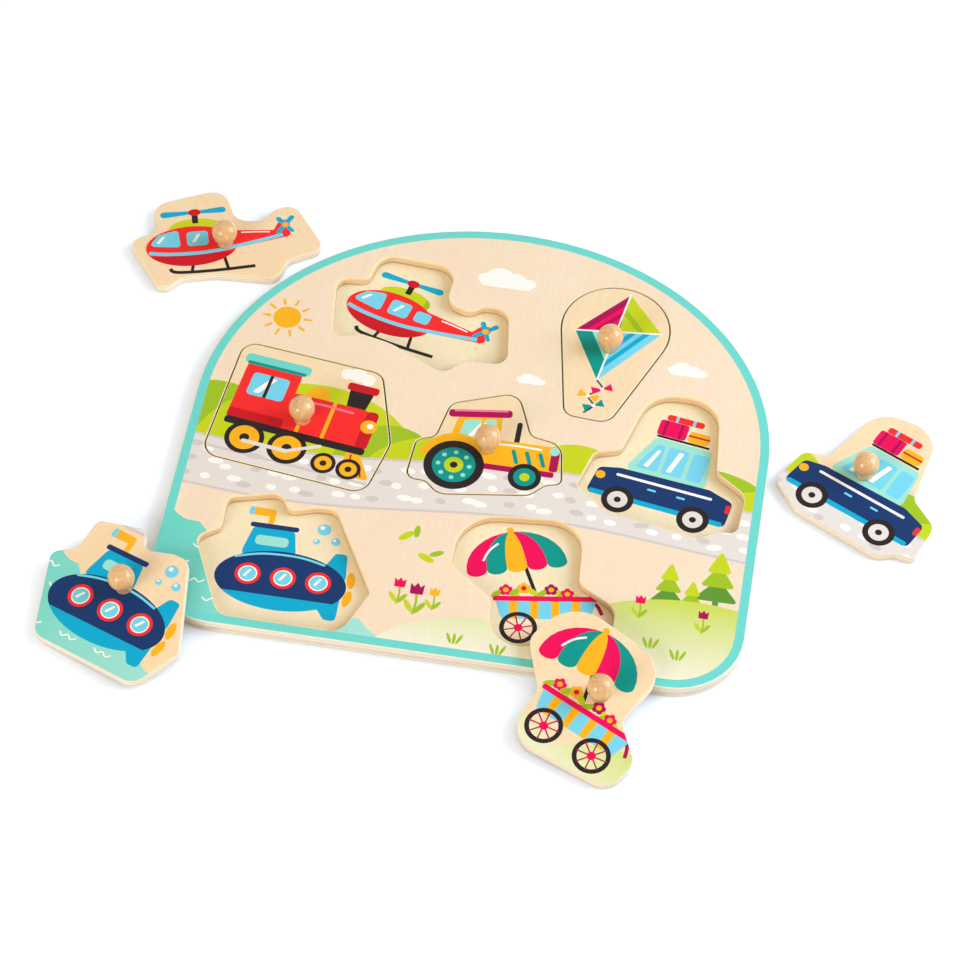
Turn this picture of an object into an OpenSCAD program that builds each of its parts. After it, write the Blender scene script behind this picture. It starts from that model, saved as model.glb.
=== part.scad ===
// Wooden peg puzzle: a two-sheet board with seven shaped pockets and seven pieces with turned ball pegs.
// Three pieces lie in their pockets, two lie flat on the table and two lean on the board's edge.
// Origin: middle of the board's underside. +X runs across the board, +Y to the arched back edge, +Z up.

/* [Board] */
// Wood left at either side of the middle row of pockets
side_rim = 11.75; // [8:0.25:40]
// Wood left between two pockets of the middle row
cross_web = 10; // [8:0.5:30]
// Wood left in front of the pockets
front_rim = 6; // [4:0.5:30]
// Wood left between two rows of pockets
row_web = 5; // [4:0.5:20]
// Wood left behind the pockets, up to the top of the arch
back_rim = 26; // [24:0.5:60]
// Rise of the arched back edge above the straight sides
arch_rise = 134; // [110:1:160]
// Radius of the two front corners
corner_r = 35; // [15:1:50]
// Thickness of the base sheet, the floor of the pockets
base_t = 2.5; // [1.5:0.1:6]
// Thickness of the frame sheet, which the pockets are cut through
frame_t = 5; // [3:0.1:9]

/* [Pieces] */
// Thickness of a puzzle piece
tile_t = 5; // [4:0.1:12]
// Gap all round between a piece and its pocket
fit_gap = 0.45; // [0.3:0.05:1]
// Round-over on the top edge of a piece
tile_ease = 0.9; // [0.2:0.1:1.5]
// Round-over on the bottom edge of a piece
tile_under_ease = 0.4; // [0.2:0.1:0.8]
// Width of the helicopter piece
helicopter_w = 96.5; // [86:0.5:100]
// Height of the helicopter piece
helicopter_h = 72.5; // [63:0.5:75]
// Width of the locomotive piece
locomotive_w = 93.5; // [84:0.5:98]
// Height of the locomotive piece
locomotive_h = 86; // [78:0.5:92]
// Width of the tractor piece
tractor_w = 78.5; // [70:0.5:82]
// Height of the tractor piece
tractor_h = 68.5; // [62:0.5:72]
// Width of the kite piece
kite_w = 57.5; // [52:0.5:62]
// Height of the kite piece
kite_h = 91; // [82:0.5:95]
// Width of the camper van piece
van_w = 84.5; // [76:0.5:87]
// Height of the camper van piece
van_h = 87.5; // [78:0.5:90]
// Width of the submarine piece
submarine_w = 90; // [80:0.5:94]
// Height of the submarine piece
submarine_h = 77.5; // [70:0.5:80]
// Width of the flower cart piece
cart_w = 84.5; // [76:0.5:88]
// Height of the flower cart piece
cart_h = 78; // [71:0.5:82]

/* [Pegs] */
// Diameter of the ball that the fingers hold
ball_d = 13.5; // [12:0.1:18]
// Height of the ball's middle over the piece
ball_rise = 9; // [7.5:0.1:14]
// Diameter of the neck at the piece
neck_d = 7.8; // [6.8:0.1:10]
// Depth inside the ball's widest part at which the widening neck ends
neck_tuck = 0.4; // [0.2:0.05:2]
// Extra width of the neck where it flares out to meet the piece
foot_flare = 0.9; // [0.2:0.1:3]
// Height of the flared foot
foot_h = 0.4; // [0.3:0.1:2]
// Diameter of the glued tenon below the neck
tenon_d = 5.4; // [4:0.1:6]
// Length of the tenon
tenon_l = 3.2; // [2:0.1:3.5]
// Glue clearance round the tenon and under it
glue_gap = 0.05; // [0.02:0.01:0.2]

/* [Loose pieces] */
// Turn of the helicopter piece, which lies flat beside the arch, in degrees
helicopter_turn = 31; // [20:1:45]
// Turn of the camper van piece, which lies flat beside the board, in degrees
van_turn = -17.5; // [-30:0.5:0]
// Turn of the submarine piece, which leans on a front corner, in degrees
submarine_turn = -22; // [-40:0.5:0]
// Direction of the submarine piece's slope, uphill, in degrees
submarine_uphill = 39.5; // [30:0.5:60]
// Distance on the table from the front corner to the submarine piece's foot
submarine_foot = 61.5; // [45:0.5:70]
// Sideways offset of the submarine piece along the front corner
submarine_slip = 5.7; // [-10:0.1:10]
// Turn of the flower cart piece, which leans on the front edge, in degrees
cart_turn = -35; // [-60:0.5:0]
// Distance on the table from the front edge to the flower cart piece's foot
cart_foot = 58; // [45:0.5:70]
// Clearance between a leaning piece and the board's top edge
lean_gap = 0.3; // [0.2:0.05:0.6]

/* [Hidden] */

// The board is as large as its rows of pockets and the wood left round them
board_w = 2 * side_rim + locomotive_w + tractor_w + van_w + 2 * cross_web;
board_d = front_rim + submarine_h + locomotive_h + helicopter_h + 2 * row_web + back_rim;
board_t = base_t + frame_t;
// Depth by which a cut runs past the faces that it opens
overrun = 1;
// Largest turn, in degrees, of one straight step along a rounded corner
arc_step = 10;
// Steps round the arched back edge
arch_steps = 60;
// Steps across a round-over
ease_steps = 3;
$fn = 64;

// Corners of each piece, going round to the left: shares of its width across and of its height up,
// from the piece's middle, and the corner's radius as a share of its width
helicopter_corner_shares = [
    [-0.455, -0.329, 0.057], [-0.309, -0.257, 0.064], [-0.13, -0.311, 0.31], [0.176, -0.523, 0.074],
    [0.282, -0.377, 0.064], [0.509, -0.368, 0.068], [0.46, 0.14, 0.088], [0.324, 0.136, 0.064],
    [0.257, 0.059, 0.075], [0.11, 0.132, 0.092], [0.129, 0.469, 0.105], [-0.295, 0.508, 0.102],
    [-0.332, 0.243, 0.054], [-0.509, 0.232, 0.067]];
locomotive_corner_shares = [
    [-0.51, -0.375, 0.095], [0.42, -0.51, 0.095], [0.505, -0.12, 0.13], [0.375, 0.4, 0.085],
    [-0.43, 0.51, 0.085]];
tractor_corner_shares = [
    [-0.505, -0.4, 0.065], [-0.37, -0.405, 0.075], [-0.275, -0.51, 0.115], [0.31, -0.41, 0.09],
    [0.4, -0.3, 0.075], [0.505, -0.265, 0.045], [0.46, 0.095, 0.115], [0.25, 0.14, 0.075],
    [0.115, 0.535, 0.1], [-0.31, 0.35, 0.09], [-0.365, 0.015, 0.075], [-0.485, -0.035, 0.065]];
kite_corner_shares = [
    [-0.325, -0.485, 0.12], [0.085, -0.505, 0.155], [0.75, 0.5, 0.495], [-0.59, 0.5, 0.495]];
van_corner_shares = [
    [-0.28, 0.046, 0.07], [-0.434, 0.005, 0.068], [-0.51, -0.254, 0.068], [-0.306, -0.405, 0.109],
    [0.269, -0.505, 0.096], [0.366, -0.438, 0.07], [0.482, -0.434, 0.052], [0.504, -0.159, 0.094],
    [0.31, -0.024, 0.086], [0.267, 0.502, 0.2], [-0.148, 0.497, 0.214]];
submarine_corner_shares = [
    [-0.391, 0.182, 0.054], [-0.515, 0.079, 0.059], [-0.291, -0.493, 0.095], [0.388, -0.501, 0.103],
    [0.505, -0.171, 0.046], [0.219, 0.438, 0.064], [0.119, 0.438, 0.109], [-0.05, 0.371, 0.064],
    [-0.105, 0.514, 0.064], [-0.397, 0.423, 0.05]];
cart_corner_shares = [
    [-0.5, 0.047, 0.105], [-0.227, -0.172, 0.106], [-0.184, -0.544, 0.179], [0.498, -0.37, 0.123],
    [0.501, -0.12, 0.124], [0.259, 0.034, 0.086], [0.227, 0.519, 0.199], [-0.5, 0.448, 0.254]];

// Place of each pocket's middle: shares of the board's width and depth from the board's middle
helicopter_pocket_share = [-0.1425, 0.2699];
locomotive_pocket_share = [-0.305, -0.013];
tractor_pocket_share = [0.022, -0.022];
kite_pocket_share = [0.199, 0.234];
van_pocket_share = [0.3242, -0.0063];
submarine_pocket_share = [-0.2789, -0.3402];
cart_pocket_share = [0.1391, -0.3138];

// Place of each peg: shares of the piece's width and height from the piece's middle
helicopter_peg_share = [-0.003, -0.047];
locomotive_peg_share = [-0.006, -0.025];
tractor_peg_share = [-0.013, -0.024];
kite_peg_share = [-0.022, 0.046];
van_peg_share = [-0.033, 0.01];
submarine_peg_share = [-0.008, 0.077];
cart_peg_share = [0.055, 0.071];

// Place of the pieces beside the board: shares of the board's width and depth from the board's middle
helicopter_loose_share = [-0.5268, 0.3976];
van_loose_share = [0.6711, 0.0314];
// Place along the front edge where the flower cart piece leans: share of the board's width
cart_loose_share = 0.2571;

helicopter_size = [helicopter_w, helicopter_h];
locomotive_size = [locomotive_w, locomotive_h];
tractor_size = [tractor_w, tractor_h];
kite_size = [kite_w, kite_h];
van_size = [van_w, van_h];
submarine_size = [submarine_w, submarine_h];
cart_size = [cart_w, cart_h];

helicopter_corners = corners_of(helicopter_corner_shares, helicopter_size);
locomotive_corners = corners_of(locomotive_corner_shares, locomotive_size);
tractor_corners = corners_of(tractor_corner_shares, tractor_size);
kite_corners = corners_of(kite_corner_shares, kite_size);
van_corners = corners_of(van_corner_shares, van_size);
submarine_corners = corners_of(submarine_corner_shares, submarine_size);
cart_corners = corners_of(cart_corner_shares, cart_size);

POCKETS = [
    [helicopter_corners, helicopter_pocket_share], [locomotive_corners, locomotive_pocket_share],
    [tractor_corners, tractor_pocket_share], [kite_corners, kite_pocket_share],
    [van_corners, van_pocket_share], [submarine_corners, submarine_pocket_share],
    [cart_corners, cart_pocket_share]];

// Corner points and radii at real size
function corners_of(shares, size) = [for (s = shares) [s.x * size.x, s.y * size.y, s.z * size.x]];
// A place given in shares of the board
function on_board(share) = [share.x * board_w, share.y * board_d];
// A place given in shares of a piece
function on_piece(share, size) = [share.x * size.x, share.y * size.y];

// Item of a closed list, counted on past either end
function around(list, i) = list[(i + len(list)) % len(list)];
function spot(corners, i) = [around(corners, i).x, around(corners, i).y];
function side(corners, i) = spot(corners, i + 1) - spot(corners, i);
function heading(corners, i) = atan2(side(corners, i).y, side(corners, i).x);
// Turn at a corner in degrees, positive to the left
function turning(corners, i) =
    let (raw = heading(corners, i) - heading(corners, i - 1))
    raw - 360 * round(raw / 360);
// Length of a side that a corner's rounding takes up
function taken(corners, i) = around(corners, i).z * tan(abs(turning(corners, i)) / 2);
// A side shorter than the two roundings on it shrinks them to fit
function shrink(corners, i) =
    min(1, norm(side(corners, i)) / (taken(corners, i) + taken(corners, i + 1)));
function corner_radius(corners, i) =
    around(corners, i).z * min(shrink(corners, i - 1), shrink(corners, i));
// Points of one rounded corner, with the whole outline moved outward by grow
function corner_arc(corners, i, grow) =
    let (turn = turning(corners, i),
        hand = sign(turn),
        r = corner_radius(corners, i),
        course = heading(corners, i - 1),
        start = spot(corners, i) - r * tan(abs(turn) / 2) * [cos(course), sin(course)],
        centre = start + hand * r * [-sin(course), cos(course)],
        steps = max(1, ceil(abs(turn) / arc_step)))
    [for (k = [0:steps])
        let (a = course - 90 * hand + turn * k / steps)
        centre + (r + hand * grow) * [cos(a), sin(a)]];
function outline(corners, grow = 0) =
    [for (i = [0:len(corners) - 1]) each corner_arc(corners, i, grow)];

// Outline of the board: straight front and sides, round front corners and a half-ellipse at the back
function board_outline() =
    let (half = board_w / 2, front = -board_d / 2, spring = board_d / 2 - arch_rise)
    concat(
        [for (a = [-180:arc_step:-90]) [corner_r - half, front + corner_r] + corner_r * [cos(a), sin(a)]],
        [for (a = [-90:arc_step:0]) [half - corner_r, front + corner_r] + corner_r * [cos(a), sin(a)]],
        [for (k = [0:arch_steps])
            let (a = 180 * k / arch_steps)
            [half * cos(a), spring + arch_rise * sin(a)]]);

// Inset and height of each ring of points up an eased edge
function ease_rings() =
    concat(
        [for (k = [ease_steps:-1:0])
            let (a = 90 * k / ease_steps)
            [tile_under_ease * (cos(a) - 1), tile_under_ease * (1 - sin(a))]],
        [for (k = [0:ease_steps])
            let (a = 90 * k / ease_steps)
            [tile_ease * (cos(a) - 1), tile_t - tile_ease * (1 - sin(a))]]);

// Slab with the given outline and rounded-over edges, made of rings of points joined up
module eased_slab(corners) {
    rings = ease_rings();
    count = len(outline(corners));
    points = [for (ring = rings) for (p = outline(corners, ring[0])) [p.x, p.y, ring[1]]];
    last = (len(rings) - 1) * count;
    walls = [for (j = [0:len(rings) - 2]) for (i = [0:count - 1])
        let (next = (i + 1) % count)
        [j * count + i, (j + 1) * count + i, (j + 1) * count + next, j * count + next]];
    floor_face = [for (i = [0:count - 1]) i];
    top_face = [for (i = [count - 1:-1:0]) last + i];
    polyhedron(points, concat([floor_face], walls, [top_face]));
}

// A piece with the blind hole that its peg is glued into
module tile(corners, peg_at) {
    difference() {
        eased_slab(corners);
        translate([peg_at.x, peg_at.y, tile_t - tenon_l - glue_gap])
            cylinder(d = tenon_d + 2 * glue_gap, h = tenon_l + glue_gap + overrun);
    }
}

// Turned peg: a ball on a neck that widens up into it, a flared foot on the piece, and a tenon below
module peg(peg_at) {
    translate([peg_at.x, peg_at.y, tile_t]) {
        translate([0, 0, ball_rise])
            sphere(d = ball_d);
        cylinder(d1 = neck_d, d2 = ball_d - 2 * neck_tuck, h = ball_rise);
        cylinder(d1 = neck_d + foot_flare, d2 = neck_d, h = foot_h);
        translate([0, 0, -tenon_l])
            cylinder(d = tenon_d, h = tenon_l);
    }
}

// Lays a piece in its pocket
module in_pocket(pocket_share) {
    translate([on_board(pocket_share).x, on_board(pocket_share).y, base_t])
        children();
}

// Lays a piece flat on the table beside the board
module on_table(loose_share, turn) {
    translate([on_board(loose_share).x, on_board(loose_share).y, 0])
        rotate(turn)
            children();
}

// Leans a piece on the board: its foot on the table, its underside just over the point edge_at of the edge
module leaning(corners, edge_at, uphill, turn, foot, slip) {
    lean = atan((board_t + lean_gap) / foot);
    up = [cos(uphill), sin(uphill)];
    across = [-sin(uphill), cos(uphill)];
    local_up = [cos(uphill - turn), sin(uphill - turn)];
    reach = max([for (p = outline(corners, -tile_under_ease)) -(p * local_up)]);
    middle = edge_at + up * (reach * cos(lean) - foot) + across * slip;
    translate([middle.x, middle.y, reach * sin(lean)])
        rotate(uphill)
            rotate([0, -lean, 0])
                rotate(turn - uphill)
                    children();
}

module submarine_place() {
    up = [cos(submarine_uphill), sin(submarine_uphill)];
    corner_middle = [corner_r - board_w / 2, corner_r - board_d / 2];
    leaning(submarine_corners, corner_middle - corner_r * up, submarine_uphill, submarine_turn,
        submarine_foot, submarine_slip)
        children();
}

module cart_place() {
    edge_at = [cart_loose_share * board_w, -board_d / 2];
    leaning(cart_corners, edge_at, 90, cart_turn, cart_foot, 0)
        children();
}

module base_board() {
    color("burlywood")
        linear_extrude(base_t)
            polygon(board_outline());
}

module frame_board() {
    color("wheat")
        translate([0, 0, base_t])
            difference() {
                linear_extrude(frame_t)
                    polygon(board_outline());
                for (pocket = POCKETS)
                    translate([on_board(pocket[1]).x, on_board(pocket[1]).y, -overrun])
                        linear_extrude(frame_t + 2 * overrun)
                            polygon(outline(pocket[0], fit_gap));
            }
}

module helicopter_tile() {
    color("tomato")
        on_table(helicopter_loose_share, helicopter_turn)
            tile(helicopter_corners, on_piece(helicopter_peg_share, helicopter_size));
}

module helicopter_peg() {
    color("tan")
        on_table(helicopter_loose_share, helicopter_turn)
            peg(on_piece(helicopter_peg_share, helicopter_size));
}

module locomotive_tile() {
    color("crimson")
        in_pocket(locomotive_pocket_share)
            tile(locomotive_corners, on_piece(locomotive_peg_share, locomotive_size));
}

module locomotive_peg() {
    color("tan")
        in_pocket(locomotive_pocket_share)
            peg(on_piece(locomotive_peg_share, locomotive_size));
}

module tractor_tile() {
    color("orange")
        in_pocket(tractor_pocket_share)
            tile(tractor_corners, on_piece(tractor_peg_share, tractor_size));
}

module tractor_peg() {
    color("tan")
        in_pocket(tractor_pocket_share)
            peg(on_piece(tractor_peg_share, tractor_size));
}

module kite_tile() {
    color("yellowgreen")
        in_pocket(kite_pocket_share)
            tile(kite_corners, on_piece(kite_peg_share, kite_size));
}

module kite_peg() {
    color("tan")
        in_pocket(kite_pocket_share)
            peg(on_piece(kite_peg_share, kite_size));
}

module van_tile() {
    color("midnightblue")
        on_table(van_loose_share, van_turn)
            tile(van_corners, on_piece(van_peg_share, van_size));
}

module van_peg() {
    color("tan")
        on_table(van_loose_share, van_turn)
            peg(on_piece(van_peg_share, van_size));
}

module submarine_tile() {
    color("navy")
        submarine_place()
            tile(submarine_corners, on_piece(submarine_peg_share, submarine_size));
}

module submarine_peg() {
    color("tan")
        submarine_place()
            peg(on_piece(submarine_peg_share, submarine_size));
}

module cart_tile() {
    color("turquoise")
        cart_place()
            tile(cart_corners, on_piece(cart_peg_share, cart_size));
}

module cart_peg() {
    color("tan")
        cart_place()
            peg(on_piece(cart_peg_share, cart_size));
}

base_board();
frame_board();
helicopter_tile();
helicopter_peg();
locomotive_tile();
locomotive_peg();
tractor_tile();
tractor_peg();
kite_tile();
kite_peg();
van_tile();
van_peg();
submarine_tile();
submarine_peg();
cart_tile();
cart_peg();
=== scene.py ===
"""The looks of a peg puzzle round its CAD part: two plywood sheets, seven pieces and seven turned pegs."""

import math

import bmesh
import bpy
import numpy as np
from mathutils import Matrix, Vector
from mathutils.geometry import delaunay_2d_cdt


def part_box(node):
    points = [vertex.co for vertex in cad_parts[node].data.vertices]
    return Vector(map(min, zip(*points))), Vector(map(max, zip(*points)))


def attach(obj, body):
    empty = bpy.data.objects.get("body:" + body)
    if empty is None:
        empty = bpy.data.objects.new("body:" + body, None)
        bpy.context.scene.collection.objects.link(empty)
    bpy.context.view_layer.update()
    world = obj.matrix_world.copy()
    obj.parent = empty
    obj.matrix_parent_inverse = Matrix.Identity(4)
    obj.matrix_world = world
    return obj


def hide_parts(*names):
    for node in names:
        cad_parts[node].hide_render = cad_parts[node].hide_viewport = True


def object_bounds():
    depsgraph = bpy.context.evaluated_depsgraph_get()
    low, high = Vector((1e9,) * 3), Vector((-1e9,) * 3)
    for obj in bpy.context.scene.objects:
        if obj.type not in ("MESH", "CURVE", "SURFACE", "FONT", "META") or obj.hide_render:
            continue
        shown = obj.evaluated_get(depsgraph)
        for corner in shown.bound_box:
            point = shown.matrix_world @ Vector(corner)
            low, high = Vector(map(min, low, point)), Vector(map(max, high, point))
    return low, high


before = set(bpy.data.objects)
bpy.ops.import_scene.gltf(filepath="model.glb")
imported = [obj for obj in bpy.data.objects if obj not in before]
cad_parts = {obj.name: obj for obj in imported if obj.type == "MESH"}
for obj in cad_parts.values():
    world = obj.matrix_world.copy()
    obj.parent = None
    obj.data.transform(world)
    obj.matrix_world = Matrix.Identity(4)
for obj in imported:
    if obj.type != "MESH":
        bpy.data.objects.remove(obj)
cad_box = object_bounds()

MM = 0.001
FLAT_PLACE = "flat_place"  # the name of the points' places on the flat piece
PIECES = ["helicopter", "locomotive", "tractor", "kite", "van", "submarine", "cart"]
HOME_PIECE = "locomotive"  # a piece that lies in its pocket, from which the fit is read

# Easing of the two sheets, in millimetres
POCKET_LIP = 0.4
BOARD_EASE = 0.5
GLUE_GROOVE = 0.18
UNDER_EASE = 0.5
EASE_STEPS = 4
# The printed pieces' crisp top edge, and how much is sanded off their sides
TILE_EASE = 0.3
TILE_TRIM = 0.3
PEG_SIDES = 48
PEG_RINGS = 28

# The printed border, in millimetres from the board's edge
BORDER_START = 0.52
BORDER_END = 5.2

# The photograph's camera, in millimetres in the CAD frame
CAMERA_AT = (150.4, -1054.8, 1385.9)
CAMERA_AIM = (4.19, -23.4, 0)
CAMERA_ROLL = 1.455
LENS = 126.4
SENSOR = 36

INKS = {
    "turquoise": (113, 217, 208), "red": (248, 44, 44), "deep_red": (205, 20, 35), "navy": (15, 52, 105),
    "blue": (0, 172, 214), "sky": (120, 214, 240), "lime": (200, 214, 30), "leaf": (160, 195, 35),
    "deep_leaf": (95, 150, 50), "mint": (160, 228, 212), "amber": (252, 183, 30), "pink": (240, 0, 90),
    "plum": (175, 0, 85), "rose": (255, 120, 150), "teal": (0, 150, 140), "soot": (35, 25, 25),
    "stone": (232, 224, 218), "pebble": (214, 205, 200), "white": (255, 252, 246),
}

# Inks that fade across the board: both colours, the axis, and where along it, in millimetres, they are full
FADES = {
    "meadow": ((203, 219, 82), (250, 243, 226), "Y", (-86, -136)),
    "water": ((108, 216, 201), (168, 230, 219), "X", (-146, -40)),
}

# Bare wood: its pale and dark tones, and how rough it is
WOODS = {
    "board_face": ((252, 230, 206), (246, 220, 191), 0.5),
    "floor_face": ((255, 236, 205), (250, 225, 188), 0.52),
    "piece_face": ((253, 227, 192), (247, 215, 172), 0.46),
    "pocket_lip": ((252, 230, 188), (243, 212, 160), 0.5),
    "board_under": ((236, 210, 172), (216, 184, 142), 0.6),
    "piece_under": ((240, 212, 172), (220, 186, 142), 0.55),
}

# The bare wood beside the gaps round the pieces, and the open share below which painted shade darkens it
WOODS_WITH_PAINTED_GAP_SHADE = {"pocket_lip": 0.68, "floor_face": 0.25}
# That limit on a plywood edge, deep in a gap and at its mouth, and the open share at which the painted shade
# is wholly dark
DEEP_LIMIT, MOUTH_LIMIT = 0.22, 0.6
WHOLLY_DARK = 0.12

# Plywood edges: the tones of the face plies, the core plies and the glue, then the heights, in millimetres,
# at which the plies change, at which two sheets are glued together and above which painted shade takes in a
# wider gap
EDGES = {
    "board_edge": ((255, 247, 232), (250, 238, 218), (186, 148, 108), (1.2, 4.1, 5.9), (2.5,), 7),
    "piece_edge": ((255, 245, 226), (253, 236, 208), (190, 146, 98), (0.8, 2.4, 4.1), (), 3),
    "pocket_wall": ((255, 236, 198), (244, 214, 168), (210, 172, 120), (2.5, 3.4, 4.6, 6.2), (), 5.5),
}
PLY_LINE, JOINT_LINE = 0.55, 0.9  # how strongly the glue shows there
# The painted shade of narrow gaps and corners, and how near a facing surface makes one, in millimetres
PAINTED_GAP_SHADE, PAINTED_GAP_SHADE_REACH = (74, 34, 6), 1.2
GLOSS = 0.18
# Light that soaks into bare wood: its share, and how far each colour spreads, in millimetres
SOAK, SOAK_REACH = 0.6, (3.0, 1.4, 0.6)
PEG_TONES = ((235, 196, 142), (209, 160, 97))
PEG_COAT, PEG_COAT_ROUGH = 0.85, 0.08

# Light, as a share of what shows a colour as it is written, and the lamps' directions, powers, sizes and
# tints: together they are white, and what the key lamp doesn't reach stays warm
SKY_LIGHT, SKY_TINT = 0.46, (1.17, 1, 0.77, 1)
LAMP_AWAY = 1.7
KEY_TOWARD, KEY_POWER, KEY_SIZE, KEY_TINT = (0.83, 0.18, 0.54), 24.3, 1.3, (0.84, 1, 1.23)
FILL_TOWARD, FILL_POWER, FILL_SIZE, FILL_TINT = (-0.5, -0.75, 0.4), 12.5, 0.8, (1.03, 1, 0.96)
FLOOR_REACH, FLOOR_TONE = 6, (0.725, 0.78, 0.86, 1)
# The floor's glow, seen by the camera and in gloss, which makes it white, and its tint; near edges the glow
# is cut back to paint their shadow
FLOOR_LIFT, FLOOR_LIFT_TINT = 0.44, (0.9, 1, 1.1, 1)
# How far the painted shadow at an edge spreads on the floor, in millimetres, the side it is open to, and the
# open share from which there is none
CONTACT_REACH, CONTACT_OPEN, CONTACT_CLEAR = 12, (0.5, 0.1, 0.86), 0.9


# Drawings

class Picture:
    """Flat printed shapes in painting order: each an ink and a closed outline, in millimetres."""

    def __init__(self, at=(0, 0), turn=0, size=1):
        self.shapes = []
        self.at = at
        self.turn = math.radians(turn)
        self.size = size

    def add(self, ink, points):
        c, s = self.size * math.cos(self.turn), self.size * math.sin(self.turn)
        placed = [(self.at[0] + c * x - s * y, self.at[1] + s * x + c * y) for x, y in points]
        self.shapes.append((ink, counter_clockwise(placed)))

    def oval(self, ink, x, y, rx, ry=None, lean=0, first=0, last=360):
        """An ellipse, or the part of it between two angles, closed by its chord."""
        ry = ry or rx
        count = max(8, int((10 + 3 * max(rx, ry) ** 0.8) * (last - first) / 360))
        steps = count if last - first >= 360 else count - 1
        angles = [math.radians(first + (last - first) * i / steps) for i in range(count)]
        self.add(ink, turned([(rx * math.cos(a), ry * math.sin(a)) for a in angles], lean, (x, y)))

    def box(self, ink, x, y, w, h, r=0, lean=0):
        """A rectangle round its middle, with rounded corners."""
        corners = [(-w / 2, -h / 2), (w / 2, -h / 2), (w / 2, h / 2), (-w / 2, h / 2)]
        self.add(ink, turned(rounded(corners, r), lean, (x, y)))

    def patch(self, ink, corners, r=0):
        """A shape through corners, each rounded."""
        self.add(ink, rounded(corners, r))

    def bar(self, ink, a, b, wide, narrow=None):
        """A straight bar with round ends, wide at a and narrow at b."""
        narrow = narrow or wide
        way = math.atan2(b[1] - a[1], b[0] - a[0])
        points = [round_end(a, wide / 2, way + math.pi), round_end(b, narrow / 2, way)]
        self.add(ink, points[0] + points[1])

    def stroke(self, ink, way, width):
        """A line of even width on a smooth curve through the points of its way."""
        line = smooth(way)
        left, right = [], []
        for i, (x, y) in enumerate(line):
            ax, ay = line[max(i - 1, 0)]
            bx, by = line[min(i + 1, len(line) - 1)]
            size = math.hypot(bx - ax, by - ay)
            nx, ny = -(by - ay) / size * width / 2, (bx - ax) / size * width / 2
            left.append((x + nx, y + ny))
            right.append((x - nx, y - ny))
        self.add(ink, right + left[::-1])

    def ring(self, ink, x, y, r, width):
        """A ring in two halves."""
        for first in (0, 180):
            angles = [math.radians(first + 180 * i / 16) for i in range(17)]
            outer, inner = [[(x + reach * math.cos(a), y + reach * math.sin(a)) for a in angles]
                            for reach in (r, r - width)]
            self.add(ink, outer + inner[::-1])

    def fan(self, inks, x, y, rx, ry, lean=0):
        """Side by side gores of a dome, from its top to its lower rim."""
        for k, ink in enumerate(inks):
            sides = []
            for share in (k / len(inks), (k + 1) / len(inks)):
                reach = 2 * share - 1
                angles = [math.radians(90 * i / 8) for i in range(9)]
                sides.append([(rx * reach * math.sin(a), ry * math.cos(a)) for a in angles])
            self.add(ink, turned(sides[0][1:] + sides[1][:0:-1] + [(0, ry)], lean, (x, y)))

    def wheel(self, x, y, r, tyre, rim, rim_ink, hub_ink):
        """A wheel seen from the side."""
        self.oval("soot", x, y, r)
        self.oval(rim_ink, x, y, r - tyre)
        self.oval(hub_ink, x, y, rim)


def turned(points, degrees, at):
    c, s = math.cos(math.radians(degrees)), math.sin(math.radians(degrees))
    return [(at[0] + c * x - s * y, at[1] + s * x + c * y) for x, y in points]


def area(points):
    return sum(a[0] * b[1] - b[0] * a[1] for a, b in zip(points, points[1:] + points[:1])) / 2


def counter_clockwise(points):
    return points if area(points) > 0 else points[::-1]


def round_end(at, radius, way, steps=6):
    angles = [way + math.pi * (i / steps - 0.5) for i in range(steps + 1)]
    return [(at[0] + radius * math.cos(a), at[1] + radius * math.sin(a)) for a in angles]


def rounded(corners, radius, steps=5):
    """A polygon with each corner cut to an arc that touches both its sides."""
    if not radius:
        return list(corners)
    points = []
    for i, p in enumerate(corners):
        a, b = Vector(corners[i - 1]) - Vector(p), Vector(corners[(i + 1) % len(corners)]) - Vector(p)
        half = a.angle(b) / 2
        reach = min(radius / math.tan(half), a.length * 0.49, b.length * 0.49)
        start, end = Vector(p) + a.normalized() * reach, Vector(p) + b.normalized() * reach
        for k in range(steps + 1):
            t = k / steps
            points.append(tuple(start * (1 - t) ** 2 + Vector(p) * 2 * t * (1 - t) + end * t * t))
    return points


def smooth(way, steps=5):
    """Points on a curve that passes through each point of a way."""
    if len(way) < 3:
        return list(way)
    ends = [way[0], *way, way[-1]]
    line = []
    for p, a, b, q in zip(ends, ends[1:], ends[2:], ends[3:]):
        for k in range(steps):
            t = k / steps
            line.append(tuple(
                0.5 * (2 * a[i] + (b[i] - p[i]) * t + (2 * p[i] - 5 * a[i] + 4 * b[i] - q[i]) * t * t
                       + (3 * a[i] - p[i] - 3 * b[i] + q[i]) * t ** 3) for i in (0, 1)))
    return line + [way[-1]]


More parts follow.
